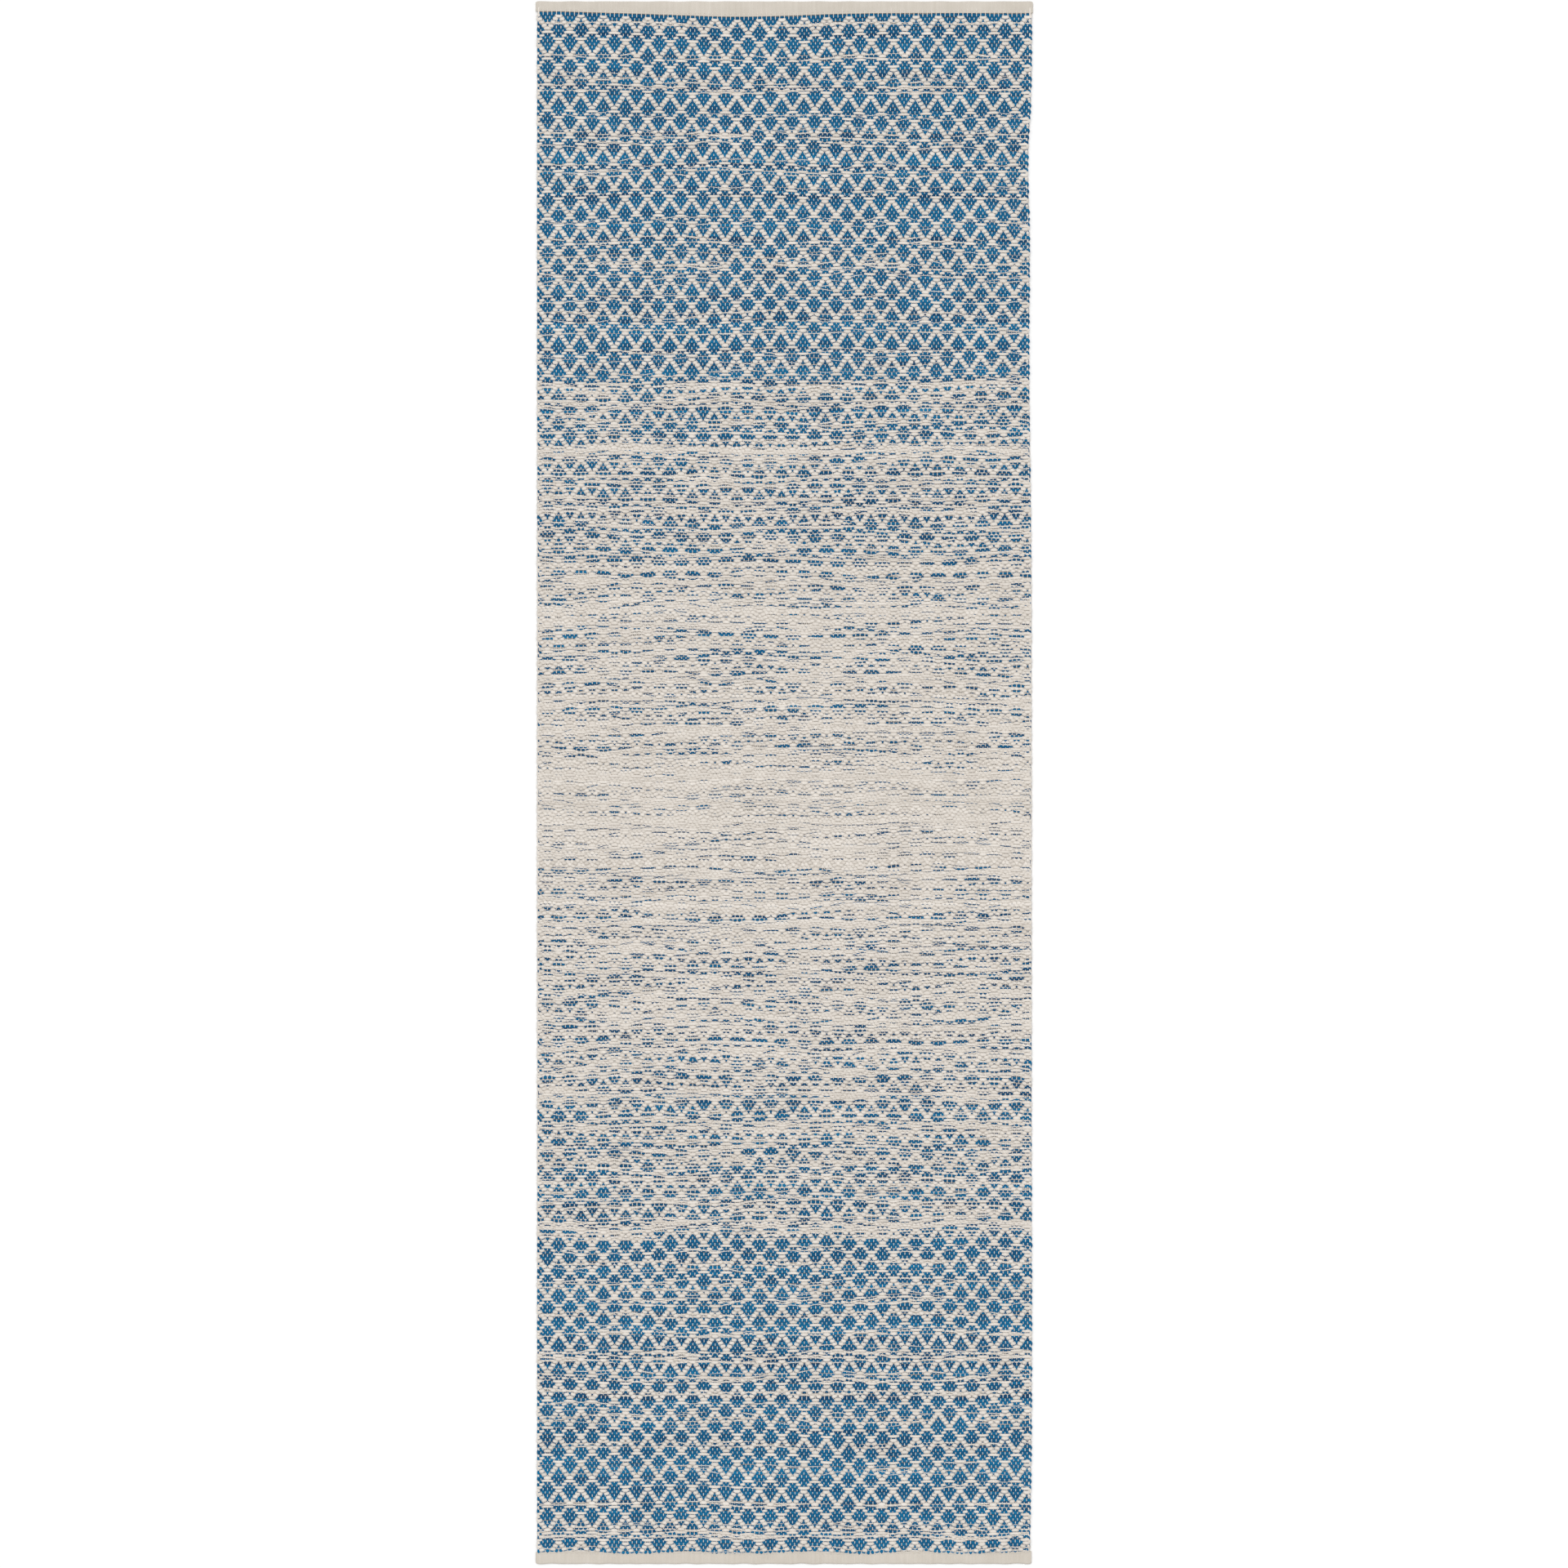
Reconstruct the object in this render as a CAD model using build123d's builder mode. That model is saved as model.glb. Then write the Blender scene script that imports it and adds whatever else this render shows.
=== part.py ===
"""A hand-woven cotton runner rug: warp, three wefts, selvedge cords and sewn end hems.

The rug lies flat. X runs across its width, Y along its length and Z up, and the
origin is on the floor under the middle of the rug. The yarns are laid as they lie
in the loom, without the crimp that beating gives them: the ground wefts below, the
warp over them, and the thick pattern weft on top.

Each ground pick is a flat bundle of thin strands. The rug fades because the number
of blue strands in the bundle falls step by step from the hems to the middle, and
cream strands fill the bundle up.
"""
import os

from build123d import *

os.makedirs("parts", exist_ok=True)

# Driving dimensions, in millimetres
RUG_LENGTH = 2134.0  # 7 ft, hem fold to hem fold
RUG_WIDTH = 679.0  # selvedge to selvedge
HEM_DEPTH = 16.5  # from the outer fold to the sewn inner edge
WARP_COUNT = 219  # cords between the two selvedge cords
WARP_PITCH = 3.05
PICK_COUNT = 484  # picks of each weft: 60.5 diamonds of 8 picks
STRAND_COUNT = 5  # strands side by side in a ground pick
PICK_GAP = 0.4  # clear space between neighbouring picks
STRAND_GAP = 0.1  # clear space between a pick's blue and cream strands

# Heights of the layers, and the loft left between one and the next
GROUND_HEIGHT = 1.9
WARP_HEIGHT = 1.2
PATTERN_HEIGHT = 2.7
LAYER_GAP = 0.1

# Yarn widths that show at the edges
WARP_CORD_WIDTH = 1.5
SELVEDGE_CORD_WIDTH = 2.4
TURN_WIDTH = 2.2  # the weft's turn, or the float that climbs the selvedge

# The ombre, from the foot hem to the head hem: each step's upper end, as a share of
# the woven length, and its count of blue strands
OMBRE = (
    (0.10, 5),
    (0.19, 4),
    (0.22, 3),
    (0.31, 2),
    (0.43, 1),
    (0.52, 0),
    (0.65, 1),
    (0.74, 2),
    (0.77, 3),
    (0.91, 4),
    (1.00, 5),
)

# The hem: a doubled strip of thin cotton cloth
HEM_CLOTH = 0.9
HEM_EDGE_SETBACK = 2.5  # the raw edge stops short of the outer fold
STITCH_LENGTH = 5.0
STITCH_PITCH = 7.0
STITCH_THREAD = 0.5
STITCH_INSET = 2.5  # from the hem's inner edge

# Worked out from the above
HALF_WIDTH = RUG_WIDTH / 2
HALF_LENGTH = RUG_LENGTH / 2
FIELD_HALF_LENGTH = HALF_LENGTH - HEM_DEPTH
FIELD_LENGTH = 2 * FIELD_HALF_LENGTH
PICK_PITCH = FIELD_LENGTH / PICK_COUNT
PICK_WIDTH = PICK_PITCH - PICK_GAP
STRAND_WIDTH = PICK_WIDTH / STRAND_COUNT
WARP_BASE = GROUND_HEIGHT + LAYER_GAP
PATTERN_BASE = WARP_BASE + WARP_HEIGHT + LAYER_GAP
WARP_LENGTH = RUG_LENGTH - 2 * (HEM_CLOTH + HEM_EDGE_SETBACK)


def pick_middle(row):
    """Place along the rug of a pick, counted from the foot hem."""
    return (row + 0.5) * PICK_PITCH - FIELD_HALF_LENGTH


def blue_strands(row):
    """Number of blue strands in this ground pick, from the ombre's steps."""
    along = (row + 0.5) / PICK_COUNT
    return next(count for upper_end, count in OMBRE if along <= upper_end)


def strand_bars():
    """The low and high edges of each pick's blue bar, and of its cream bar.

    The blue strands lie on the foot side of the pick and the cream ones next to them.
    """
    blue, cream = [], []
    for row in range(PICK_COUNT):
        low = pick_middle(row) - PICK_WIDTH / 2
        high = low + PICK_WIDTH
        count = blue_strands(row)
        border = low + count * STRAND_WIDTH
        gap = STRAND_GAP / 2 if 0 < count < STRAND_COUNT else 0
        if count > 0:
            blue.append((low, border - gap))
        if count < STRAND_COUNT:
            cream.append((border + gap, high))
    return blue, cream


def comb_outline(bars, side):
    """Outline of bars that all start from one selvedge float, on the right or left side.

    The bars run in X from the float to a tip that stays clear of the other colour's float.
    """
    spine = side * HALF_WIDTH
    inner = side * (HALF_WIDTH - TURN_WIDTH)
    tip = -side * (HALF_WIDTH - TURN_WIDTH - PICK_GAP)
    points = [(spine, bars[0][0])]
    for low, high in bars:
        points += [(inner, low), (tip, low), (tip, high), (inner, high)]
    points.append((spine, bars[-1][1]))
    return points[:1] + points[2:-2] + points[-1:]


def serpentine_outline():
    """Outline of one weft that turns at alternate edges after each pick."""
    first_edge = pick_middle(0) - PICK_WIDTH / 2
    last_edge = pick_middle(PICK_COUNT - 1) + PICK_WIDTH / 2
    right_side = [(HALF_WIDTH, first_edge)]
    left_side = [(-HALF_WIDTH, first_edge)]
    for row in range(PICK_COUNT - 1):
        low = pick_middle(row) + PICK_WIDTH / 2
        high = low + PICK_GAP
        if row % 2:
            side, edge, turn = right_side, HALF_WIDTH, TURN_WIDTH - HALF_WIDTH
        else:
            side, edge, turn = left_side, -HALF_WIDTH, HALF_WIDTH - TURN_WIDTH
        side += [(edge, low), (turn, low), (turn, high), (edge, high)]
    right_side.append((HALF_WIDTH, last_edge))
    left_side.append((-HALF_WIDTH, last_edge))
    return right_side + left_side[::-1]


BLUE_BARS, CREAM_BARS = strand_bars()

# Blue ground strands: they climb the right selvedge from pick to pick
with BuildPart() as ground_weft_blue:
    with BuildSketch():
        with BuildLine():
            Polyline(comb_outline(BLUE_BARS, side=1), close=True)
        make_face()
    extrude(amount=GROUND_HEIGHT)
ground_weft_blue.part.label = "ground_weft_blue"
export_step(ground_weft_blue.part, "parts/ground_weft_blue.step")

# Cream ground strands: they climb the left selvedge from pick to pick
with BuildPart() as ground_weft_cream:
    with BuildSketch():
        with BuildLine():
            Polyline(comb_outline(CREAM_BARS, side=-1), close=True)
        make_face()
    extrude(amount=GROUND_HEIGHT)
ground_weft_cream.part.label = "ground_weft_cream"
export_step(ground_weft_cream.part, "parts/ground_weft_cream.step")

# Warp: straight cords from hem to hem, over the ground wefts
with BuildPart() as warp_ends:
    with BuildSketch(Plane.XY.offset(WARP_BASE)):
        with GridLocations(WARP_PITCH, 0, WARP_COUNT, 1):
            Rectangle(WARP_CORD_WIDTH, WARP_LENGTH)
    extrude(amount=WARP_HEIGHT)
warp_ends.part.label = "warp_ends"
export_step(warp_ends.part, "parts/warp_ends.step")

# Pattern weft: one thick soft yarn that goes to and fro over the warp
with BuildPart() as pattern_weft:
    with BuildSketch(Plane.XY.offset(PATTERN_BASE)):
        with BuildLine():
            Polyline(serpentine_outline(), close=True)
        make_face()
    extrude(amount=PATTERN_HEIGHT)
pattern_weft.part.label = "pattern_weft"
export_step(pattern_weft.part, "parts/pattern_weft.step")

# Selvedge cords: the thicker outermost warp on each side
for side, name in ((-1, "selvedge_cord_left"), (1, "selvedge_cord_right")):
    with BuildPart() as selvedge_cord:
        with BuildSketch(Plane.XY.offset(WARP_BASE)):
            with Locations((side * (HALF_WIDTH - SELVEDGE_CORD_WIDTH / 2), 0)):
                Rectangle(SELVEDGE_CORD_WIDTH, WARP_LENGTH)
        extrude(amount=WARP_HEIGHT)
    selvedge_cord.part.label = name
    export_step(selvedge_cord.part, f"parts/{name}.step")

# Hems: thin cloth turned under twice, with the warp's tails between its leaves.
# Each leaf and fold is drawn along the middle of the cloth's thickness.
HALF_CLOTH = HEM_CLOTH / 2
INNER_EDGE = FIELD_HALF_LENGTH + PICK_GAP
LOWER_LEAF = HALF_CLOTH
TUCKED_LEAF = LOWER_LEAF + HEM_CLOTH + LAYER_GAP
UPPER_LEAF = PATTERN_BASE + HALF_CLOTH
INNER_TURN = INNER_EDGE + HEM_CLOTH
INNER_FOLD = INNER_TURN - (TUCKED_LEAF - LOWER_LEAF) / 2
OUTER_FOLD = HALF_LENGTH - HALF_CLOTH
OUTER_TURN = OUTER_FOLD - (UPPER_LEAF - LOWER_LEAF) / 2
RAW_EDGE = OUTER_FOLD - HEM_EDGE_SETBACK
for end, name in ((1, "head_hem"), (-1, "foot_hem")):
    with BuildPart() as hem:
        with BuildSketch(Plane.YZ.offset(-HALF_WIDTH)):
            with BuildLine():
                Line((end * RAW_EDGE, TUCKED_LEAF), (end * INNER_TURN, TUCKED_LEAF))
                ThreePointArc(
                    (end * INNER_TURN, TUCKED_LEAF),
                    (end * INNER_FOLD, (TUCKED_LEAF + LOWER_LEAF) / 2),
                    (end * INNER_TURN, LOWER_LEAF),
                )
                Line((end * INNER_TURN, LOWER_LEAF), (end * OUTER_TURN, LOWER_LEAF))
                ThreePointArc(
                    (end * OUTER_TURN, LOWER_LEAF),
                    (end * OUTER_FOLD, (UPPER_LEAF + LOWER_LEAF) / 2),
                    (end * OUTER_TURN, UPPER_LEAF),
                )
                Line((end * OUTER_TURN, UPPER_LEAF), (end * INNER_EDGE, UPPER_LEAF))
            trace(line_width=HEM_CLOTH)
        extrude(amount=RUG_WIDTH)
    hem.part.label = name
    export_step(hem.part, f"parts/{name}.step")

# Hem stitches: the run of thread that shows on the hem's face, near its inner edge
STITCH_COUNT = int(RUG_WIDTH / STITCH_PITCH) - 1
STITCH_BASE = UPPER_LEAF + HALF_CLOTH
for end, name in ((1, "head_hem_stitches"), (-1, "foot_hem_stitches")):
    with BuildPart() as stitches:
        with BuildSketch(Plane.XY.offset(STITCH_BASE)):
            with Locations((0, end * (INNER_EDGE + STITCH_INSET))):
                with GridLocations(STITCH_PITCH, 0, STITCH_COUNT, 1):
                    SlotOverall(STITCH_LENGTH, STITCH_THREAD)
        extrude(amount=STITCH_THREAD)
    stitches.part.label = name
    export_step(stitches.part, f"parts/{name}.step")
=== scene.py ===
"""How the runner rug looks: crimped yarns, folded hems and stitches, in the CAD frame.

The yarns are tubes that interlace. Each warp cord is a tube of its own, and a weft's
tube turns at the selvedges from pick to pick. The pattern weft floats over the warp
everywhere but in a lattice of small diamonds, where it dips to the back and the ground
weft shows. Each ground pick is a blue strand beside a cream one, and the rug fades
because the blue strand's share of the pick falls in steps towards the middle.
"""

import bpy
import numpy as np
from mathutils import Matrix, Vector


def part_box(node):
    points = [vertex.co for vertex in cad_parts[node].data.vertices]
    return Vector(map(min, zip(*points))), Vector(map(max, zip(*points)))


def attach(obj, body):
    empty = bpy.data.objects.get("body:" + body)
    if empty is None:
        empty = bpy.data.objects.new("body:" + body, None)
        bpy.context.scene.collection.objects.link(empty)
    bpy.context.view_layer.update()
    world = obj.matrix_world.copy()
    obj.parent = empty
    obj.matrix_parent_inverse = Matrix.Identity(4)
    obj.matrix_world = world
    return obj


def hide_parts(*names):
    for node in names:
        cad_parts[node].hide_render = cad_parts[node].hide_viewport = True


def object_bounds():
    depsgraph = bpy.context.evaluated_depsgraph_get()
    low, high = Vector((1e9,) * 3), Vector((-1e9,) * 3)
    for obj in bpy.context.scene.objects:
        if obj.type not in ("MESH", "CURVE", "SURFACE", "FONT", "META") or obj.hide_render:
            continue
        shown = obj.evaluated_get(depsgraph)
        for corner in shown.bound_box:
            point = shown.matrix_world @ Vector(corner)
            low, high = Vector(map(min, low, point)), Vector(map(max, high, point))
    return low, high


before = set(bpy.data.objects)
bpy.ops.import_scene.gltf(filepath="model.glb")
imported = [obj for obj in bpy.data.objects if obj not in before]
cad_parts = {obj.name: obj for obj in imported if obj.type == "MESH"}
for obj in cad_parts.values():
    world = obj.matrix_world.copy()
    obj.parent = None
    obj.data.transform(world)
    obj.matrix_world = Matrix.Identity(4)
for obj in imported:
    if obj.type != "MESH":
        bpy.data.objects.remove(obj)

SEED = 11
MM = 0.001

# --- Sizes from the CAD frame, in metres ----------------------------------------------
CAD_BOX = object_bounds()
HALF_WIDTH = CAD_BOX[1].x
HALF_LENGTH = CAD_BOX[1].y
FACE_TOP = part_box("pattern_weft")[1].z
HEM_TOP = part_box("head_hem")[1].z
STITCH_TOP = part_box("head_hem_stitches")[1].z
STITCH_LINE = (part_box("head_hem_stitches")[0].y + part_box("head_hem_stitches")[1].y) / 2
FIELD_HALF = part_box("head_hem")[0].y  # half the woven length between the hems
WARP_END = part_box("warp_ends")[1].y
MIDDLE = FACE_TOP / 2  # height of the cloth's middle plane

# --- The weave ------------------------------------------------------------------------
WARP_COUNT = 221  # with the two selvedge cords
PICK_COUNT = 484  # picks of the ground weft, and as many of the pattern weft
EDGE_ROOM = 4 * MM  # from the outermost cord's middle to the selvedge
WARP_PITCH = 2 * (HALF_WIDTH - EDGE_ROOM) / (WARP_COUNT - 1)
WARP_X = (np.arange(WARP_COUNT) - (WARP_COUNT - 1) / 2) * WARP_PITCH
DIAMOND_WARPS = 10
DIAMOND_PICKS = 8
# The two sets of diamonds: where they are widest, as warps across and picks along, and
# how many warps they span at each of their picks from there on. One set comes to a point
# at its head side and the other at its foot side.
DIAMOND_SETS = (
    (-1, 6, (7, 5, 3, 1, 0, 0, 3, 5)),
    (4, 2, (7, 5, 3, 0, 0, 1, 3, 5)),
)
PLAIN_HEAD_PICKS = 1  # picks below the head hem where the pattern weft stays on the back

# Blue share of the ground picks, from foot to head: each step's upper end, as a share of
# the woven length, and its mean. Over 1 means that most of its picks are all blue.
OMBRE = (
    (0.05, 1.08),
    (0.09, 1.04),
    (0.12, 0.99),
    (0.20, 0.92),
    (0.23, 0.66),
    (0.32, 0.56),
    (0.40, 0.32),
    (0.44, 0.20),
    (0.52, 0.13),
    (0.56, 0.22),
    (0.64, 0.31),
    (0.72, 0.55),
    (0.76, 0.62),
    (0.84, 0.92),
    (0.92, 0.99),
    (0.96, 1.04),
    (1.00, 1.08),
)
BLUE_SPREAD = 0.10  # how much the share differs from one pair of picks to the next
PALE_CHANCE, PALE_SHARE = 0.16, 0.62  # chance that a pair is pale, and the blue it keeps then
BLUE_DRIFT = 0.28  # how much the share drifts along a pick, most where the colours are equal
CREAM_ROOM, BLUE_ROOM = 4.10, 4.52  # length that a pick takes up, before it is scaled to fit
GROUND_PLACE, PATTERN_PLACE = 0.25, 0.75  # where the two wefts lie in that room

# Yarn sizes and heights
WARP_WIDTH, WARP_HEIGHT, WARP_CRIMP = 1.2 * MM, 1.0 * MM, 0.76 * MM
WARP_TAIL = -0.5  # height of a cord's ends inside the hems, in crimps
GROUND_WIDTH, GROUND_HEIGHT, GROUND_CRIMP = 4.8 * MM, 1.6 * MM, 0.55 * MM
GROUND_MIDDLE = MIDDLE + 0.6 * MM
PATTERN_WIDTH, PATTERN_HEIGHT = 4.2 * MM, 1.7 * MM
BACK_WIDTH = 3.6 * MM  # of the pattern weft where it passes behind a diamond
FLOAT_PUFF = 0.5 * MM  # how far a float spreads into a diamond beside it
FLOAT_PINCH = 0.5 * MM  # and how far a ground pick that is over a warp there holds it back
FLOAT_INSET = 0.08  # in warp pitches, at both ends of a float
FLOAT_END_LIFT, FLOAT_END_WIDTH = 0.62, 0.88  # of a float at both ends, as shares of the rest
FLOAT_SPREAD = 0.05  # how much the width differs from one float to the next
PICK_WANDER = 0.25 * MM  # how far a pick strays from its line
WARP_WANDER = 0.12 * MM  # and a warp cord from its own
PATTERN_LIFT = MIDDLE - PATTERN_HEIGHT / 2  # of a float's middle line above the middle plane
SELVEDGE_WIDTH, SELVEDGE_HEIGHT = 2.2 * MM, 1.3 * MM
GROUND_PLUMP = 0.05  # how much a ground pick's width changes along it
ROLL_DRIFT = 0.5  # how much a pick's two strands roll along it, in half turns
THINNEST_STRAND = 0.5 * MM
THIN_FLATNESS = 0.35  # how much lower a thin strand is
THIN_CLIMB = 0.3  # how far it moves up or down as the pick rolls, in heights of the pick
THIN_SPREAD = 0.2  # how much wider it gets where it lies over or under the other strand
THIN_BLUE_PAINTED_SHADE = 0.35  # painted shade: how much darker a thin blue strand's colour is made, for the shade where it lies deep between cream ones
KNUCKLE = 0.28  # how much a ground pick widens over a warp, and narrows under it
FLOAT_SQUEEZE = 0.25  # how much a pattern float narrows the ground pick beside it
TURN_SQUEEZE = 0.6  # width of a weft's turn round the selvedge, as a share of its width inside
TURN_FULLNESS = 0.6  # below 1, a turn is squarer than half a circle
LONGEST_CLIMB = 8  # picks that a resting weft climbs along the selvedge without a cut

# How far each weft's turns stand out on the left (-1) and the right (1), in yarn widths,
# and how high they rise
PATTERN_REACH, PATTERN_RISE = {-1: 0.10, 1: 0.12}, 0.0
BLUE_REACH, BLUE_RISE = {-1: 0.15, 1: 0.45}, 0.9 * MM
CREAM_REACH, CREAM_RISE = {-1: 0.30, 1: 0.25}, 0.3 * MM

# The hem's folded cloth and its stitches
HEM_CLOTH = 0.9 * MM
LEAF_GAP = 0.1 * MM
RAW_EDGE_SETBACK = 2.5 * MM
RINGS_PER_WARP = 4  # of the hem's mesh
FACE_START, FACE_BLEND = 0.45, 0.3  # of the hem's height, where its face begins
HEM_RIB = 0.16 * MM  # how much the warp's cords show through the face at the seam
HEM_RIB_LEFT = 0.25  # share of that which is left at the outer fold
HEM_LOFT = 0.35 * MM  # how much the face's height wanders
LOFT_MIDDLE, LOFT_SPREAD = 0.6, 0.3  # shares of the hem's depth
HEM_CROWN = 0.25 * MM  # how much the face bulges between its seam and its fold
CROWN_MIDDLE, CROWN_SPREAD = 0.62, 0.22  # shares of the hem's depth
HEM_WANDER = 0.25 * MM  # how far the outer fold strays from its line
CORNER_LENGTH = 5 * MM  # at each end of a hem, where it gets flatter and shorter
CORNER_FLATNESS, CORNER_PULL = 0.35, 0.10
CORNER_HEIGHT = 0.75 * MIDDLE  # the height that a corner is flattened towards
STITCH_LENGTH, STITCH_PITCH, STITCH_THREAD = 5 * MM, 7 * MM, 0.5 * MM
STITCH_DENT, STITCH_DENT_REACH = 0.30 * MM, 1.4 * MM
DENT_EVERYWHERE, DENT_AT_STITCHES = 0.55, 0.45  # shares of the dent along the seam
STITCH_WANDER = 0.15 * MM
# A stitch from end to end: places in half lengths, and heights in threads
STITCH_SHAPE = ((-1, -1.6), (-0.85, -0.7), (-0.4, -0.1), (0, 0), (0.4, -0.1), (0.85, -0.7), (1, -1.6))

# How hand weaving and washing leave the rug, read from the photo. A hump is its height,
# middle and spread, in half widths of the rug along a seam and in metres along its edge.
# The foot's seam is one wave, of a height, radians per half width and a start in radians.
HEAD_SEAM_HUMPS = ((2.6 * MM, -1, 0.25), (-5.0 * MM, -0.18, 0.34))
FOOT_SEAM_HEIGHT, FOOT_SEAM_TURN, FOOT_SEAM_START = 1.3 * MM, 4.3 * np.pi, 0.6
SEAM_REACH = 55 * MM  # how far a seam's wave carries into the field
FIELD_CALM = 0.08  # share of the half length at each end where the field's waves die down
FIELD_WAVES = (  # height, length across and along the rug, and start in radians
    (1.5 * MM, 0.83, 0.61, 0.5),
    (1.0 * MM, 0.37, -0.29, 2.1),
    (0.6 * MM, 0.21, 0.17, 4.0),
)
RIGHT_EDGE_TUCKS = ((4.4 * MM, 0.845, 0.075), (3.7 * MM, 0.60, 0.20), (2.0 * MM, -1.05, 0.13))

# Tones of the yarns, from 0 for deep to 1 for pale: how much they differ from one yarn to
# the next, and how much they drift along it
MIDDLE_TONE = 0.5
PATTERN_TONES = (0.10, 0.10)
GROUND_TONES = (0.16, 0.08)
WARP_TONE_SPREAD = 0.12
HEM_TONE_DRIFT = 0.06

# The cotton's surface
CLOUD_SCALE, CLOUD_CONTRAST = 28.0, 0.8  # shades that drift over the rug
SLUB_SCALE, SLUB_CONTRAST = (260.0, 5.0, 1.0), 0.9  # and along and around a yarn
FUZZ_SCALE, FUZZ_DEPTH = 2600.0, 0.06 * MM
ROUGHNESS = (0.78, 0.98)  # between the fuzz's hollows and its tips
SPECULAR, SHEEN, SHEEN_ROUGHNESS = 0.2, 0.06, 0.5

# Floor, light and camera
FLOOR_HALF = 6.0
FLOOR_GREY, FLOOR_ROUGHNESS = 0.93, 0.9
SUN_STRENGTH, SUN_SIZE, SUN_DIRECTION = 1.55, np.radians(50), (0.08, -0.30, -1)
SURROUND_STRENGTH = 0.66
CAMERA_HEIGHT, VIEW_WIDTH = 9.0, 2.1407  # the whole frame shows this width at the rug's face
CAMERA_X, CAMERA_Y = -0.0004, -0.0019
SENSOR_WIDTH = 36

# Each layer is split into pieces, so that none has too many faces
WARP_PIECES = 5
WEFT_PIECES = 8

# Cross sections of the yarns, as (across, up) corners of unit half size
HEXAGON = np.array([(1, 0), (0.66, 0.88), (-0.66, 0.88), (-1, 0), (-0.66, -0.88), (0.66, -0.88)])
RHOMBUS = np.array([(1, 0), (0, 1), (-1, 0), (0, -1)])


# --- Curves ---------------------------------------------------------------------------
def wander(rng, x, shortest=70 * MM, longest=350 * MM, waves=3):
    """A smooth random curve of about unit height over places x."""
    total = np.zeros_like(x)
    for _ in range(waves):
        length = rng.uniform(shortest, longest)
        total += np.sin(2 * np.pi * (x / length + rng.uniform()))
    return total / np.sqrt(waves / 2)


def bump(x, middle, spread):
    """A smooth hump of unit height."""
    return np.exp(-(((x - middle) / spread) ** 2))


def uneven_tone(rng, x, spread, drift):
    """The tone of a yarn at places x along it."""
    return MIDDLE_TONE + spread * rng.standard_normal() + drift * wander(rng, x)


def settle(points):
    """Moves points of a ruler-straight rug to where hand weaving and washing leave them."""
    x, y, z = points[..., 0], points[..., 1], points[..., 2]
    across = x / HALF_WIDTH
    beyond = np.clip((np.abs(y) - FIELD_HALF) / (HALF_LENGTH - FIELD_HALF), 0, 1)
    inside = np.exp(np.clip(np.abs(y) - FIELD_HALF, None, 0) / SEAM_REACH)
    near_hem = (1 - beyond) * inside
    head_wave = sum(height * bump(across, middle, spread) for height, middle, spread in HEAD_SEAM_HUMPS)
    foot_wave = FOOT_SEAM_HEIGHT * np.sin(FOOT_SEAM_TURN * across + FOOT_SEAM_START)
    calm = np.clip((1 - np.abs(y) / FIELD_HALF) / FIELD_CALM, 0, 1)
    field_wave = sum(
        height * np.sin(2 * np.pi * (x / across_length + y / along_length) + start)
        for height, across_length, along_length, start in FIELD_WAVES
    )
    slide = np.where(y > 0, head_wave, foot_wave) * near_hem + calm * field_wave
    tuck = sum(depth * bump(y, middle, spread) for depth, middle, spread in RIGHT_EDGE_TUCKS)
    pull = tuck * np.clip((across + 1) / 2, 0, None)
    return np.stack([x - pull, y + slide, z], axis=-1)


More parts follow.
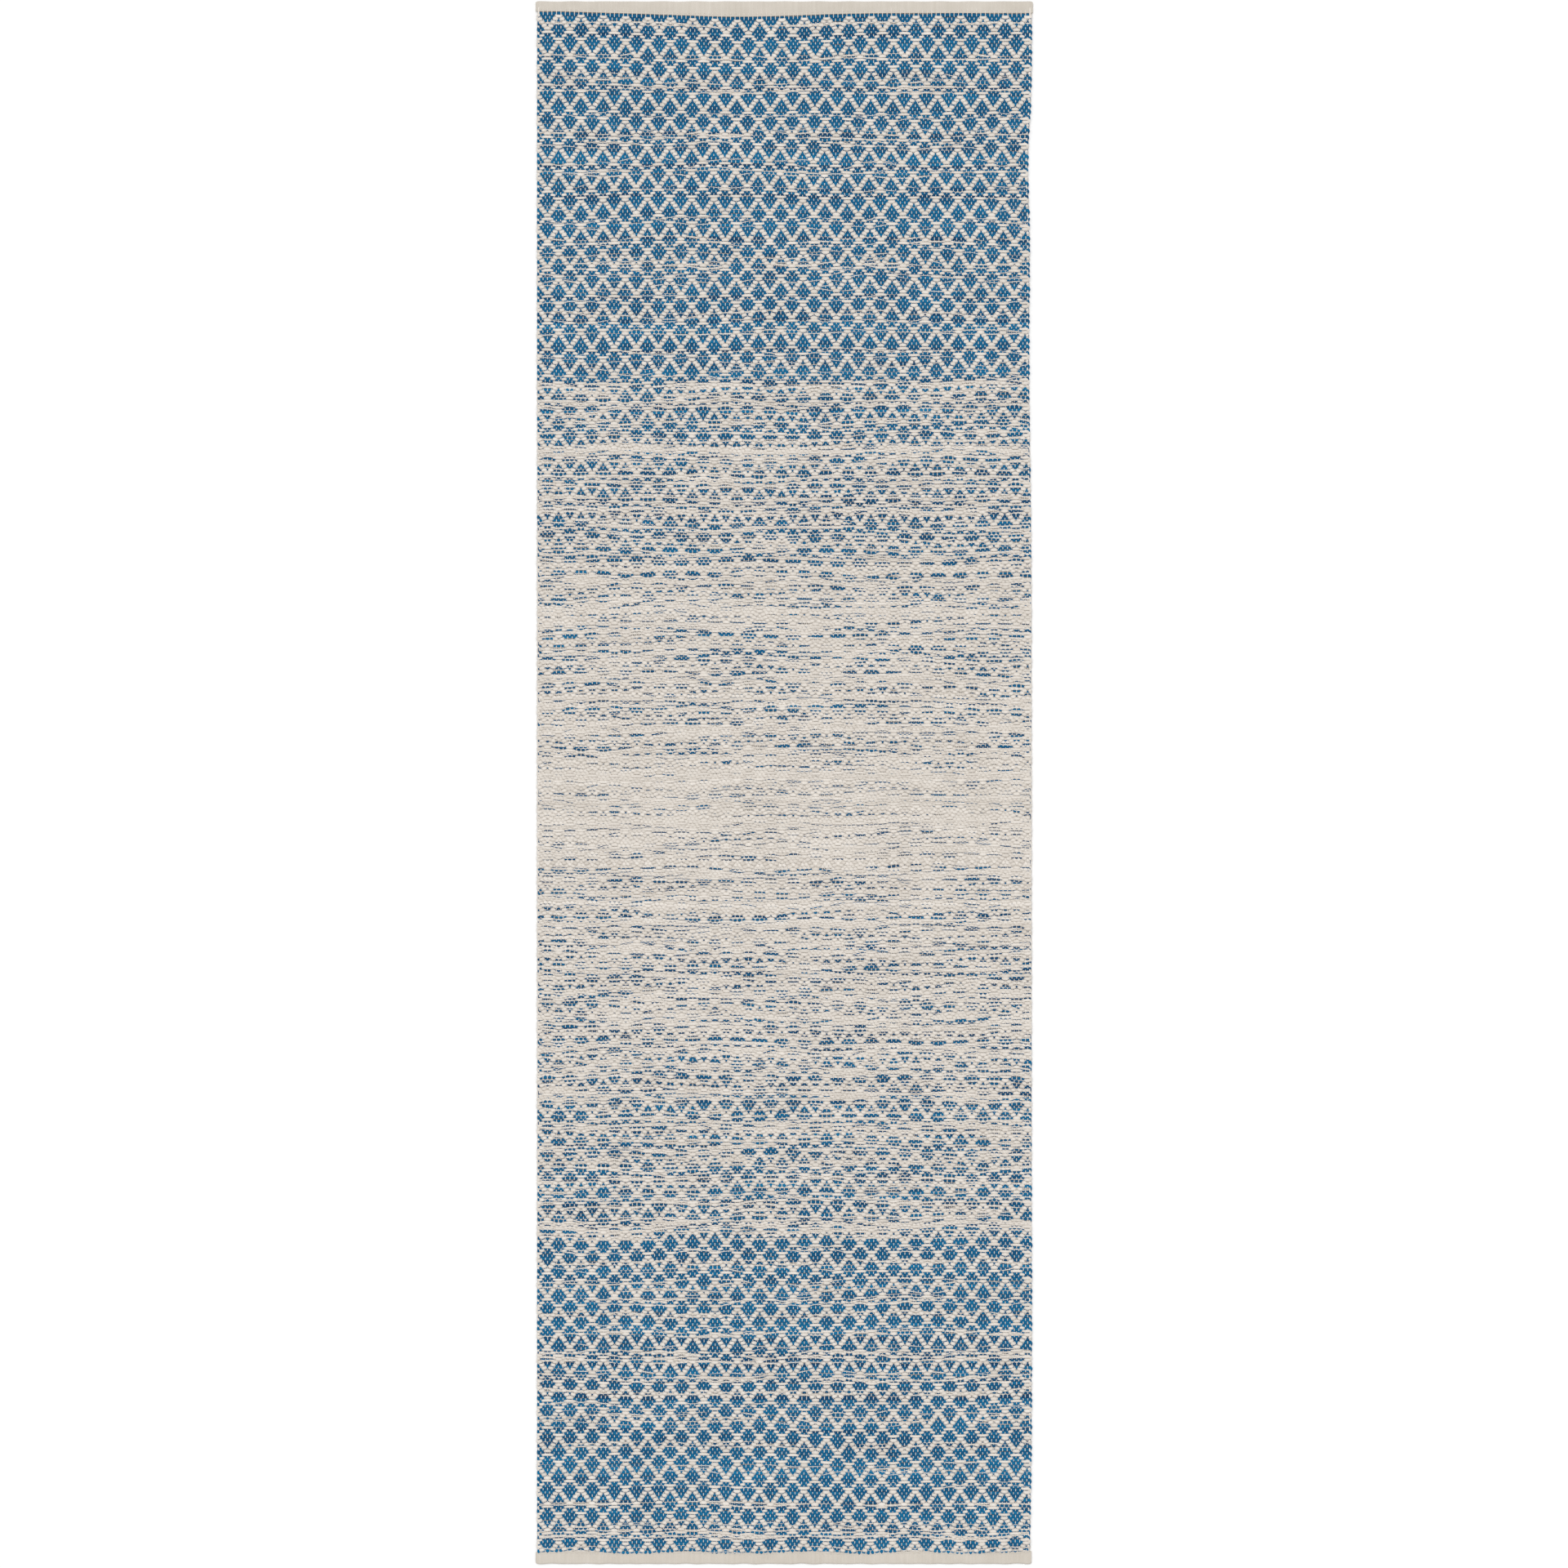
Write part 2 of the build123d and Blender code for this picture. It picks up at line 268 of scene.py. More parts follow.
# --- Meshes made of tubes -------------------------------------------------------------
class Bundle:
    """Gathers tubes, and makes them one mesh in which each tube is closed."""

    def __init__(self):
        self.tubes = []

    def add_yarn(self, path, width, height, tone=MIDDLE_TONE, section=HEXAGON):
        """A tube along a path, with its width, height and tone at each point."""
        path = settle(path)
        along = np.gradient(path, axis=0)
        along /= np.linalg.norm(along, axis=1, keepdims=True)
        side = np.stack([along[:, 1], -along[:, 0], np.zeros(len(path))], axis=1)
        side /= np.linalg.norm(side, axis=1, keepdims=True)
        up = np.cross(side, along)
        half_width = np.broadcast_to(width, len(path))[:, None, None] / 2
        half_height = np.broadcast_to(height, len(path))[:, None, None] / 2
        corners = (
            path[:, None]
            + side[:, None] * section[None, :, :1] * half_width
            + up[:, None] * section[None, :, 1:] * half_height
        )
        steps = np.linalg.norm(np.diff(path, axis=0), axis=1)
        self.add_rings(corners, np.r_[0, np.cumsum(steps)], tone)

    def add_rings(self, corners, travelled, tone, girth=1.0):
        """A tube through rings of corners. travelled and girth scale its map along and around."""
        tones = np.broadcast_to(tone, len(corners))
        self.tubes.append((corners, travelled, tones, girth))

    def mesh(self, name):
        """One mesh, with a map of metres along and girth around, and a map to bake on."""
        rings_in_all = sum(len(corners) for corners, _, _, _ in self.tubes)
        sides = self.tubes[0][0].shape[1]
        columns = int(np.ceil(np.sqrt(rings_in_all * sides)))
        rows = int(np.ceil(rings_in_all / columns))
        quads, caps, yarn_map, bake_map = [], [], [], []
        first = 0
        for corners, travelled, _, girth in self.tubes:
            count = len(corners)
            ring, side = np.divmod(np.arange((count - 1) * sides), sides)
            after = (side + 1) % sides
            base = first * sides
            here, there = base + ring * sides, base + (ring + 1) * sides
            quads.append(np.stack([here + side, there + side, there + after, here + after], axis=1))
            caps.append(base + np.arange(sides))
            caps.append(base + (count - 1) * sides + np.arange(sides)[::-1])
            near, far = travelled[ring], travelled[ring + 1]
            low, high = girth * side / sides, girth * (side + 1) / sides
            yarn_map.append(np.stack([near, low, far, low, far, high, near, high], axis=1))
            row, column = np.divmod(first + ring, columns)
            left, right = column / columns, (column + 1) / columns
            low, high = (row + side / sides) / rows, (row + (side + 1) / sides) / rows
            bake_map.append(np.stack([left, low, right, low, right, high, left, high], axis=1))
            first += count
        places = np.concatenate([corners.reshape(-1, 3) for corners, _, _, _ in self.tubes])
        tones = np.concatenate([np.repeat(tones, sides) for _, _, tones, _ in self.tubes])
        quads, caps = np.concatenate(quads), np.concatenate(caps)
        sizes = np.r_[np.full(len(quads), 4), np.full(len(caps) // sides, sides)]
        starts = np.r_[0, np.cumsum(sizes)[:-1]]
        mesh = bpy.data.meshes.new(name)
        mesh.vertices.add(len(places))
        mesh.vertices.foreach_set("co", places.ravel())
        mesh.loops.add(int(sizes.sum()))
        mesh.loops.foreach_set("vertex_index", np.r_[quads.ravel(), caps].astype(np.int32))
        mesh.polygons.add(len(sizes))
        mesh.polygons.foreach_set("loop_start", starts.astype(np.int32))
        mesh.update(calc_edges=True)
        mesh.shade_smooth()
        for map_name, faces in (("Yarn", yarn_map), ("OFBake", bake_map)):
            values = np.r_[np.concatenate(faces).ravel(), np.zeros(2 * len(caps))]
            layer = mesh.uv_layers.new(name=map_name)
            layer.uv.foreach_set("vector", values.astype(np.float32))
        tone_layer = mesh.attributes.new("tone", "FLOAT", "POINT")
        tone_layer.data.foreach_set("value", tones.astype(np.float32))
        return mesh

    def piece(self, name, material, node):
        """The tubes as a piece of the rug that stands for a CAD node."""
        obj = bpy.data.objects.new(name, self.mesh(name))
        bpy.context.scene.collection.objects.link(obj)
        obj.data.materials.append(material)
        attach(obj, "root")
        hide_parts(node)
        return obj


# --- Materials ------------------------------------------------------------------------
def add_node(tree, kind, inputs=None, **settings):
    """A shader node with its settings and inputs: a socket given as an input is linked."""
    node = tree.nodes.new(kind)
    for name, value in settings.items():
        setattr(node, name, value)
    for name, value in (inputs or {}).items():
        if isinstance(value, bpy.types.NodeSocket):
            tree.links.new(value, node.inputs[name])
        else:
            node.inputs[name].default_value = value
    return node


def math_node(tree, operation, *values):
    """The result of a Math node on numbers or sockets."""
    inputs = dict(enumerate(values))
    return add_node(tree, "ShaderNodeMath", inputs, operation=operation).outputs[0]


def noise(tree, place, scale, detail):
    """The value of a Noise Texture node."""
    inputs = {"Vector": place, "Scale": scale, "Detail": detail}
    return add_node(tree, "ShaderNodeTexNoise", inputs).outputs["Fac"]


def cotton(name, deep, pale, relief, relief_depth):
    """Soft cotton between a deep and a pale colour.

    relief is the waves of its twist or weave over the yarn map, one or two, each as turns
    per metre along and turns per unit around.
    """
    material = bpy.data.materials.new(name)
    material.use_nodes = True
    tree = material.node_tree
    tree.nodes.clear()
    yarn_map = add_node(tree, "ShaderNodeUVMap", uv_map="Yarn").outputs["UV"]
    place = add_node(tree, "ShaderNodeTexCoord").outputs["Object"]
    # The tone attribute holds a yarn's random tone, plus painted shade on thin blue ground strands
    tone = add_node(tree, "ShaderNodeAttribute", attribute_name="tone").outputs["Fac"]
    cloud = noise(tree, place, scale=CLOUD_SCALE, detail=4.0)
    stretched = add_node(
        tree,
        "ShaderNodeMapping",
        {"Vector": yarn_map, "Scale": SLUB_SCALE},
    ).outputs["Vector"]
    slub = noise(tree, stretched, scale=1.0, detail=3.0)
    fuzz = noise(tree, place, scale=FUZZ_SCALE, detail=3.0)
    shade = math_node(tree, "MULTIPLY_ADD", cloud, CLOUD_CONTRAST, -CLOUD_CONTRAST / 2)
    shade = math_node(tree, "MULTIPLY_ADD", slub, SLUB_CONTRAST, shade)
    shade = math_node(tree, "ADD", shade, -SLUB_CONTRAST / 2)
    shade = math_node(tree, "ADD", shade, tone)
    # The Mix node's colours are its inputs 6 and 7 and its output 2
    colour = add_node(
        tree,
        "ShaderNodeMix",
        {"Factor": shade, 6: (*deep, 1), 7: (*pale, 1)},
        data_type="RGBA",
    ).outputs[2]
    height = None
    for wave in relief:
        phase = add_node(
            tree,
            "ShaderNodeVectorMath",
            {0: yarn_map, 1: tuple(2 * np.pi * turn for turn in wave) + (0.0,)},
            operation="DOT_PRODUCT",
        ).outputs["Value"]
        ridge = math_node(tree, "SINE", phase)
        height = ridge if height is None else math_node(tree, "ADD", height, ridge)
    ridged = add_node(
        tree,
        "ShaderNodeBump",
        {"Height": height, "Distance": relief_depth, "Strength": 1.0},
    ).outputs["Normal"]
    fuzzy = add_node(
        tree,
        "ShaderNodeBump",
        {"Height": fuzz, "Distance": FUZZ_DEPTH, "Strength": 1.0, "Normal": ridged},
    ).outputs["Normal"]
    roughness = add_node(
        tree,
        "ShaderNodeMapRange",
        {"Value": fuzz, "To Min": ROUGHNESS[0], "To Max": ROUGHNESS[1]},
    ).outputs["Result"]
    shader = add_node(
        tree,
        "ShaderNodeBsdfPrincipled",
        {
            "Base Color": colour,
            "Roughness": roughness,
            "Normal": fuzzy,
            "Specular IOR Level": SPECULAR,
            "Sheen Weight": SHEEN,
            "Sheen Roughness": SHEEN_ROUGHNESS,
        },
    )
    output = add_node(tree, "ShaderNodeOutputMaterial")
    tree.links.new(shader.outputs[0], output.inputs["Surface"])
    return material


def twist(ply_length, plies):
    """The relief of a plied yarn: one wave that winds round it."""
    return ((1 / ply_length, plies),)


PATTERN_YARN = cotton(
    "pattern_yarn",
    deep=(0.62, 0.57, 0.51),
    pale=(0.79, 0.74, 0.68),
    relief=twist(3.4 * MM, 3),
    relief_depth=0.10 * MM,
)
BLUE_YARN = cotton(
    "blue_yarn",
    deep=(0.001, 0.052, 0.138),
    pale=(0.002, 0.158, 0.335),
    relief=twist(2.2 * MM, 4),
    relief_depth=0.10 * MM,
)
CREAM_YARN = cotton(
    "cream_yarn",
    deep=(0.63, 0.58, 0.52),
    pale=(0.79, 0.74, 0.68),
    relief=twist(2.2 * MM, 4),
    relief_depth=0.10 * MM,
)
WARP_CORD = cotton(
    "warp_cord",
    deep=(0.64, 0.59, 0.53),
    pale=(0.80, 0.75, 0.69),
    relief=twist(1.6 * MM, 2),
    relief_depth=0.08 * MM,
)
HEM_CLOTH_FINISH = cotton(
    "hem_cloth",
    deep=(0.545, 0.497, 0.43),
    pale=(0.66, 0.612, 0.545),
    relief=((1 / WARP_PITCH, 0), (0, 1 / (1.1 * MM))),
    relief_depth=0.05 * MM,
)
THREAD = cotton(
    "sewing_thread",
    deep=(0.60, 0.55, 0.48),
    pale=(0.70, 0.65, 0.58),
    relief=twist(0.9 * MM, 2),
    relief_depth=0.04 * MM,
)


# --- The plan of the weave ------------------------------------------------------------
def plan_blue(rng):
    """Blue share of each ground pick, drawn for a pair of picks at a time."""
    shares = []
    for pair in range(PICK_COUNT // 2):
        along = (2 * pair + 1) / PICK_COUNT
        mean = next(share for upper_end, share in OMBRE if along <= upper_end)
        if rng.uniform() < PALE_CHANCE:
            mean *= PALE_SHARE
        share = np.clip(mean + BLUE_SPREAD * rng.standard_normal(), 0, 1)
        shares += [share, share]
    return np.array(shares)


def plan_picks(blue_shares):
    """Where each pick's room starts and ends along the rug. Blue picks take more room."""
    room = CREAM_ROOM + blue_shares * (BLUE_ROOM - CREAM_ROOM)
    edges = np.r_[0, np.cumsum(room)]
    return (edges / edges[-1] * 2 - 1) * FIELD_HALF


def is_open(pick):
    """For each warp, whether this pattern pick passes behind it, inside a diamond."""
    opened = np.zeros(WARP_COUNT, dtype=bool)
    place = np.arange(WARP_COUNT) - WARP_COUNT // 2
    half = DIAMOND_WARPS // 2
    for across, along, spans in DIAMOND_SETS:
        span = spans[(pick - along) % DIAMOND_PICKS]
        offset = (place - across + half) % DIAMOND_WARPS - half
        opened |= np.abs(offset) <= (span - 1) / 2
    if pick >= PICK_COUNT - PLAIN_HEAD_PICKS:
        opened[:] = True
    return opened


def is_over(warp, pick):
    """Whether a ground pick passes over a warp, and not under it."""
    return (warp + pick) % 2 == 0


def pattern_run(rng, pick, y):
    """A pattern pick from left to right: path, width and height.

    It is a row of floats, in turn on the face and on the back, which meet between warps.
    """
    opened, above, below = is_open(pick), is_open(pick + 1), is_open(pick - 1)
    changes = np.flatnonzero(np.diff(opened)) + 1
    xs, lifts, widths, shifts = [], [], [], []
    for first, last in zip(np.r_[0, changes], np.r_[changes, WARP_COUNT] - 1):
        samples = 3 if last - first < 2 else 4  # a float over one or two warps has fewer
        low = WARP_X[first] - WARP_PITCH * (1 / 2 - FLOAT_INSET)
        high = WARP_X[last] + WARP_PITCH * (1 / 2 - FLOAT_INSET)
        x = np.linspace(low, high, samples)
        under = np.clip(np.round(x / WARP_PITCH).astype(int) + WARP_COUNT // 2, first, last)
        lift = np.ones(samples)
        lift[[0, -1]] = FLOAT_END_LIFT
        taper = np.full(samples, 1 + FLOAT_SPREAD * rng.standard_normal())
        taper[[0, -1]] *= FLOAT_END_WIDTH
        if opened[first]:
            lift = -lift
            width = BACK_WIDTH * taper
            shift = np.zeros(samples)
        else:
            upward = np.where(is_over(under, pick + 1), -FLOAT_PINCH, FLOAT_PUFF) * above[under]
            downward = np.where(is_over(under, pick), -FLOAT_PINCH, FLOAT_PUFF) * below[under]
            width = PATTERN_WIDTH * taper + upward + downward
            shift = (upward - downward) / 2
        for column, values in zip((xs, lifts, widths, shifts), (x, lift, width, shift)):
            column.append(values)
    x, lift, width, shift = (np.concatenate(column) for column in (xs, lifts, widths, shifts))
    path_y = y + shift + PICK_WANDER * wander(rng, x, 50 * MM, 160 * MM)
    path = np.stack([x, path_y, MIDDLE + PATTERN_LIFT * lift], axis=1)
    return path, width, np.full(len(x), PATTERN_HEIGHT)


def turn(end, start, reach, lift, samples):
    """Points of the turn from a pick's end to the next pick's start, round a selvedge."""
    angle = np.linspace(0, np.pi, samples + 2)[1:-1]
    part = (1 - np.cos(angle)) / 2
    points = end + (start - end) * part[:, None]
    points[:, 0] += reach * np.sin(angle) ** TURN_FULLNESS
    points[:, 2] += lift * np.sin(angle)
    return points


def weave_through(bundle, runs, following, first_side, reach, lift):
    """Adds one weft through its runs, to and fro, and on to the start of the following run.

    A run is (pick, path, width, height, tone) from left to right. first_side is where the
    weft starts, -1 or 1. reach is how far its turns stand out on each side, in yarn widths,
    and lift is how high they rise.
    """
    parts, side, last_pick = [], first_side, None

    def finish_yarn():
        if parts:
            bundle.add_yarn(*(np.concatenate(column) for column in zip(*parts)))
            parts.clear()

    for number, run in enumerate(runs + following):
        pick = run[0]
        ordered = [column[:: -side] for column in run[1:]]
        if parts and pick - last_pick > LONGEST_CLIMB:
            finish_yarn()
        elif parts:
            samples = 4 if pick - last_pick == 1 else 6  # more for a climb past other picks
            finished = parts[-1]
            end, start = finished[0][-1], ordered[0][0]
            width, height, tone = (
                np.linspace(old[-1], new[0], samples) for old, new in zip(finished[1:], ordered[1:])
            )
            bend = turn(end, start, side * reach[side] * width.mean(), lift, samples)
            parts.append((bend, TURN_SQUEEZE * width, height, tone))
        if number < len(runs):
            parts.append(tuple(ordered))
        side, last_pick = -side, pick
    finish_yarn()


def ground_runs(rng, pick, y, blue_share):
    """The blue run and the cream run of a ground pick, either of which may be None."""
    over = np.where(is_over(np.arange(WARP_COUNT), pick), 1, -1)
    x = WARP_X
    above, below = is_open(pick).astype(float), is_open(pick - 1).astype(float)
    crowd = np.where(over > 0, (1 - above) * (1 - below) * 2, 2 - above - below)
    squeeze = 1 - FLOAT_SQUEEZE * crowd
    path_y = y + FLOAT_SQUEEZE * GROUND_WIDTH / 2 * (above - below)
    path_y += PICK_WANDER * wander(rng, x, 60 * MM, 160 * MM)
    plump = 1 + GROUND_PLUMP * wander(rng, x, 8 * MM, 30 * MM)
    roll = np.pi * (rng.uniform(-1, 1) + ROLL_DRIFT * wander(rng, x, 90 * MM, 400 * MM))
    drift = BLUE_DRIFT * np.sqrt(blue_share * (1 - blue_share)) * wander(rng, x, 60 * MM, 300 * MM)
    blue = np.clip(blue_share + drift, 0, 1)
    # A blue strand's tone drifts at random, and a thin one also gets painted shade: its colour is
    # darker where it lies deep between cream strands
    blue_tone_and_painted_shade = uneven_tone(rng, x, *GROUND_TONES) - THIN_BLUE_PAINTED_SHADE * (1 - blue)
    cream_tone = uneven_tone(rng, x, *GROUND_TONES)
    runs = []
    for share, tone, face in ((blue, blue_tone_and_painted_shade, 1), (1 - blue, cream_tone, -1)):
        if share.max() == 0:
            runs.append(None)
            continue
        rest = 1 - share
        lean = face * rest * np.cos(roll)
        climb = face * rest * np.sin(roll)
        spread = share + THIN_SPREAD * rest * np.abs(np.sin(roll))
        width = GROUND_WIDTH * plump * squeeze * spread * (1 + KNUCKLE * over)
        width = np.maximum(width, THINNEST_STRAND)
        height = GROUND_HEIGHT * (1 - THIN_FLATNESS * rest)
        z = GROUND_MIDDLE + GROUND_CRIMP * over + THIN_CLIMB * GROUND_HEIGHT * climb
        path = np.stack([x, path_y + GROUND_WIDTH / 2 * squeeze * lean, z], axis=1)
        runs.append((pick, path, width, height, tone))
    return runs


def even_cuts(count):
    """Picks at which a weft is cut into pieces, each at the start of a pair."""
    return (np.linspace(0, PICK_COUNT // 2, count + 1).astype(int)) * 2


# --- Hems -----------------------------------------------------------------------------
def hem_profile():
    """Outline of the folded hem cloth, as (outward from the field, up) points.

    It follows the middle of the cloth from the tucked raw edge round the inner fold, along
    the back, round the outer fold and over the face to the seam, and then offsets it.
    """
    depth = HALF_LENGTH - FIELD_HALF
    back = HEM_CLOTH / 2
    tucked = back + HEM_CLOTH + LEAF_GAP
    face = HEM_TOP - HEM_CLOTH / 2
    inner = HEM_CLOTH
    small, large = (tucked - back) / 2, (face - back) / 2
    outer = depth - HEM_CLOTH / 2 - large
    raw = depth - HEM_CLOTH / 2 - RAW_EDGE_SETBACK

    def leaf(start, end, height, count):
        return np.stack([np.linspace(start, end, count), np.full(count, height)], axis=1)

    def fold(centre, height, radius, first_turn, last_turn, count):
        angle = np.linspace(first_turn, last_turn, count + 2)[1:-1] * np.pi
        return np.stack([centre + radius * np.cos(angle), height + radius * np.sin(angle)], axis=1)

    middle = np.concatenate(
        [
            leaf(raw, inner, tucked, 4),
            fold(inner, (tucked + back) / 2, small, 0.5, 1.5, 3),
            leaf(inner, outer, back, 6),
            fold(outer, (face + back) / 2, large, -0.5, 0.5, 7),
            leaf(outer, 0, face, 15),
        ]
    )
    along = np.gradient(middle, axis=0)
    along /= np.linalg.norm(along, axis=1, keepdims=True)
    normal = np.stack([-along[:, 1], along[:, 0]], axis=1)
    offset = HEM_CLOTH / 2 * normal
    return np.concatenate([middle + offset, (middle - offset)[::-1]])


def hem_rings(rng, end, x, profile):
    """The hem's outline at each place x across the rug, settled with the rest of the rug."""
    depth = HALF_LENGTH - FIELD_HALF
    corner = np.clip((np.abs(x) - HALF_WIDTH) / CORNER_LENGTH + 1, 0, 1)[:, None]
    outward, up = profile[:, 0], profile[:, 1]
    on_face = np.clip((up / HEM_TOP - FACE_START) / FACE_BLEND, 0, 1)
    nearness = 1 - np.clip(outward / depth, 0, 1)
    rib = HEM_RIB * np.cos(2 * np.pi * x / WARP_PITCH)[:, None]
    rib = rib * (HEM_RIB_LEFT + (1 - HEM_RIB_LEFT) * nearness)
    loft = HEM_LOFT * wander(rng, x, 25 * MM, 120 * MM)[:, None]
    loft = loft * bump(outward, depth * LOFT_MIDDLE, depth * LOFT_SPREAD)
    stitch_pull = 0.5 + 0.5 * np.cos(2 * np.pi * x / STITCH_PITCH)
    dent = -STITCH_DENT * (DENT_EVERYWHERE + DENT_AT_STITCHES * stitch_pull)[:, None]
    dent = dent * bump(outward, STITCH_LINE - FIELD_HALF, STITCH_DENT_REACH)
    crown = HEM_CROWN * bump(outward, depth * CROWN_MIDDLE, depth * CROWN_SPREAD)
    height = up + on_face * (rib + loft + dent + crown)
    height = CORNER_HEIGHT + (height - CORNER_HEIGHT) * (1 - CORNER_FLATNESS * corner**2)
    stray = HEM_WANDER * wander(rng, x, 15 * MM, 60 * MM)[:, None] * (1 - nearness)
    y = end * (FIELD_HALF + (outward * (1 - CORNER_PULL * corner**3) + stray))
    return settle(np.stack(np.broadcast_arrays(x[:, None], y, height), axis=-1))


def make_hem(rng, end, name):
    """The folded cloth of a hem at one end, 1 at the head and -1 at the foot."""
    profile = hem_profile()
    rings = int(RINGS_PER_WARP * 2 * HALF_WIDTH / WARP_PITCH) + 1
    x = np.linspace(-HALF_WIDTH, HALF_WIDTH, rings)
    corners = hem_rings(rng, end, x, profile)
    if end < 0:
        corners = corners[:, ::-1]
    girth = np.linalg.norm(np.diff(profile, axis=0), axis=1).sum()
    bundle = Bundle()
    bundle.add_rings(corners, x + HALF_WIDTH, MIDDLE_TONE + HEM_TONE_DRIFT * wander(rng, x), girth)
    return bundle.piece(f"{name}_cloth", HEM_CLOTH_FINISH, name)


def make_stitches(rng, end, name):
    """The row of stitches that shows on a hem's face."""
    bundle = Bundle()
    count = int(2 * HALF_WIDTH / STITCH_PITCH) - 1
    places, heights = np.array(STITCH_SHAPE).T
    for number in range(count):
        middle = (number - (count - 1) / 2) * STITCH_PITCH
        line = end * (STITCH_LINE + STITCH_WANDER * rng.standard_normal())
        x = middle + STITCH_LENGTH / 2 * places
        z = STITCH_TOP - STITCH_THREAD + heights * STITCH_THREAD
        path = np.stack([x, np.full(len(x), line), z], axis=1)
        bundle.add_yarn(path, STITCH_THREAD, STITCH_THREAD)
    return bundle.piece(f"{name}_thread", THREAD, f"{name}_stitches")


# --- Making the rug -------------------------------------------------------------------
def make_wefts(rng, edges, blue_shares):
    """The pattern weft and both colours of the ground weft, each in several pieces."""
    made = []
    room = np.diff(edges)
    ground_y, pattern_y = edges[:-1] + GROUND_PLACE * room, edges[:-1] + PATTERN_PLACE * room
    pattern, blue, cream = [], [], []
    for pick in range(PICK_COUNT):
        path, width, height = pattern_run(rng, pick, pattern_y[pick])
        tone = uneven_tone(rng, path[:, 0], *PATTERN_TONES)
        pattern.append((pick, path, width, height, tone))
        strands = ground_runs(rng, pick, ground_y[pick], blue_shares[pick])
        for runs, run in zip((blue, cream), strands):
            if run is not None:
                runs.append(run)
    layers = (
        ("pattern_weft", pattern, PATTERN_YARN, "pattern_yarn", -1, PATTERN_REACH, PATTERN_RISE),
        ("ground_weft_blue", blue, BLUE_YARN, "blue_yarn", 1, BLUE_REACH, BLUE_RISE),
        ("ground_weft_cream", cream, CREAM_YARN, "cream_yarn", -1, CREAM_REACH, CREAM_RISE),
    )
    cuts = even_cuts(WEFT_PIECES)
    for node, runs, material, slot, first_side, reach, lift in layers:
        for number, (low, high) in enumerate(zip(cuts, cuts[1:]), start=1):
            inside = [run for run in runs if low <= run[0] < high]
            following = [run for run in runs if run[0] >= high][:1]
            bundle = Bundle()
            weave_through(bundle, inside, following, first_side, reach, lift)
            made.append(bundle.piece(f"{node}_{number}", material, node))
    return made


def warp_path(rng, cord, edges):
    """Path of one warp cord, over and under the ground picks, with tails inside the hems."""
    room = np.diff(edges)
    over = np.where(is_over(cord, np.arange(PICK_COUNT)), -1, 1)
    y = np.r_[-WARP_END, edges[:-1] + GROUND_PLACE * room, WARP_END]
    z = GROUND_MIDDLE + WARP_CRIMP * np.r_[WARP_TAIL, over, WARP_TAIL]
    x = WARP_X[cord] + WARP_WANDER * wander(rng, y, 40 * MM, 200 * MM)
    return np.stack([x, y, z], axis=1)


def make_warps(rng, edges):
    """The warp cords in several pieces, and the two selvedge cords."""
    warps = []
    cuts = np.linspace(1, WARP_COUNT - 1, WARP_PIECES + 1).astype(int)
    for number, (low, high) in enumerate(zip(cuts, cuts[1:]), start=1):
        bundle = Bundle()
        for cord in range(low, high):
            tone = MIDDLE_TONE + WARP_TONE_SPREAD * rng.standard_normal()
            bundle.add_yarn(warp_path(rng, cord, edges), WARP_WIDTH, WARP_HEIGHT, tone, RHOMBUS)
        warps.append(bundle.piece(f"warp_ends_{number}", WARP_CORD, "warp_ends"))
    selvedges = []
    for cord, name in ((0, "selvedge_cord_left"), (WARP_COUNT - 1, "selvedge_cord_right")):
        bundle = Bundle()
        bundle.add_yarn(warp_path(rng, cord, edges), SELVEDGE_WIDTH, SELVEDGE_HEIGHT)
        selvedges.append(bundle.piece(f"{name}_yarn", WARP_CORD, name))
    return warps, selvedges


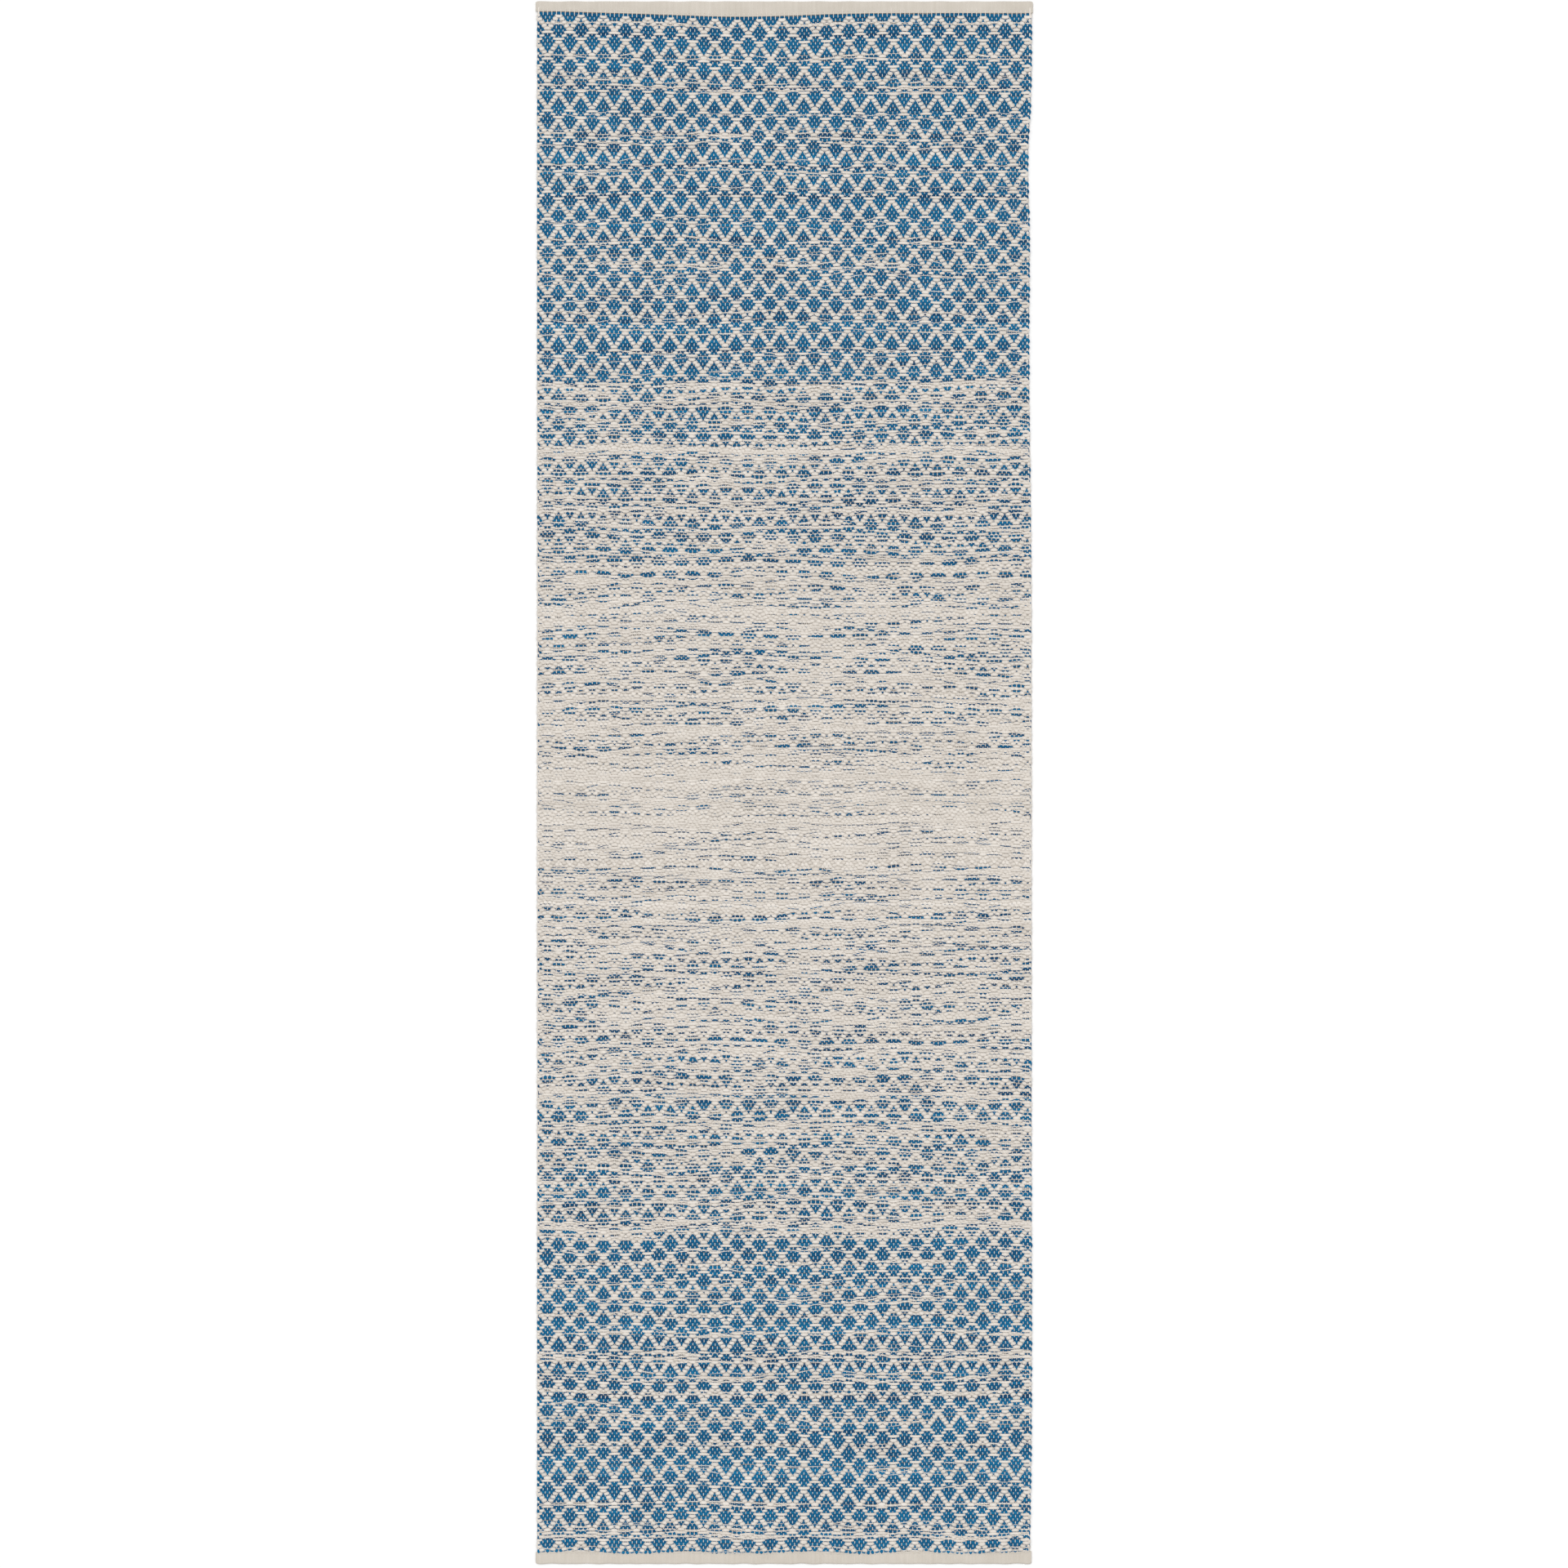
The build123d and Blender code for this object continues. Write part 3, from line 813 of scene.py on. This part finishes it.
def make_rug():
    """All the pieces of the rug."""
    rng = np.random.default_rng(SEED)
    blue_shares = plan_blue(rng)
    edges = plan_picks(blue_shares)
    wefts = make_wefts(rng, edges, blue_shares)
    warps, selvedges = make_warps(rng, edges)
    for end, name in ((1, "head_hem"), (-1, "foot_hem")):
        make_hem(rng, end, name)
        make_stitches(rng, end, name)


def make_floor():
    """A plain pale floor, which isn't part of the rug."""
    signs = ((-1, -1), (1, -1), (1, 1), (-1, 1))
    corners = [(x * FLOOR_HALF, y * FLOOR_HALF, 0) for x, y in signs]
    mesh = bpy.data.meshes.new("floor")
    mesh.from_pydata(corners, [], [(0, 1, 2, 3)])
    floor = bpy.data.objects.new("floor", mesh)
    bpy.context.scene.collection.objects.link(floor)
    material = bpy.data.materials.new("floor_paint")
    material.use_nodes = True
    shader = material.node_tree.nodes["Principled BSDF"]
    shader.inputs["Base Color"].default_value = (FLOOR_GREY, FLOOR_GREY, FLOOR_GREY, 1)
    shader.inputs["Roughness"].default_value = FLOOR_ROUGHNESS
    mesh.materials.append(material)


def make_studio():
    """Soft light from above, a little from the head's side and the left, on a pale surround."""
    light = bpy.data.lights.new("softbox", "SUN")
    light.energy = SUN_STRENGTH
    light.angle = SUN_SIZE
    softbox = bpy.data.objects.new("softbox", light)
    softbox.rotation_euler = Vector(SUN_DIRECTION).to_track_quat("-Z", "Y").to_euler()
    bpy.context.scene.collection.objects.link(softbox)
    world = bpy.data.worlds.new("surround")
    world.use_nodes = True
    background = world.node_tree.nodes["Background"]
    background.inputs["Color"].default_value = (1, 1, 1, 1)
    background.inputs["Strength"].default_value = SURROUND_STRENGTH
    bpy.context.scene.world = world
    bpy.context.scene.view_settings.view_transform = "Standard"


def make_camera():
    """A long lens that looks straight down on the whole rug."""
    camera = bpy.data.cameras.new("camera")
    camera.sensor_width = SENSOR_WIDTH
    camera.lens = SENSOR_WIDTH * CAMERA_HEIGHT / VIEW_WIDTH
    obj = bpy.data.objects.new("camera", camera)
    obj.location = (CAMERA_X, CAMERA_Y, FACE_TOP + CAMERA_HEIGHT)
    bpy.context.scene.collection.objects.link(obj)
    bpy.context.scene.camera = obj


make_camera()
make_studio()
make_floor()
make_rug()
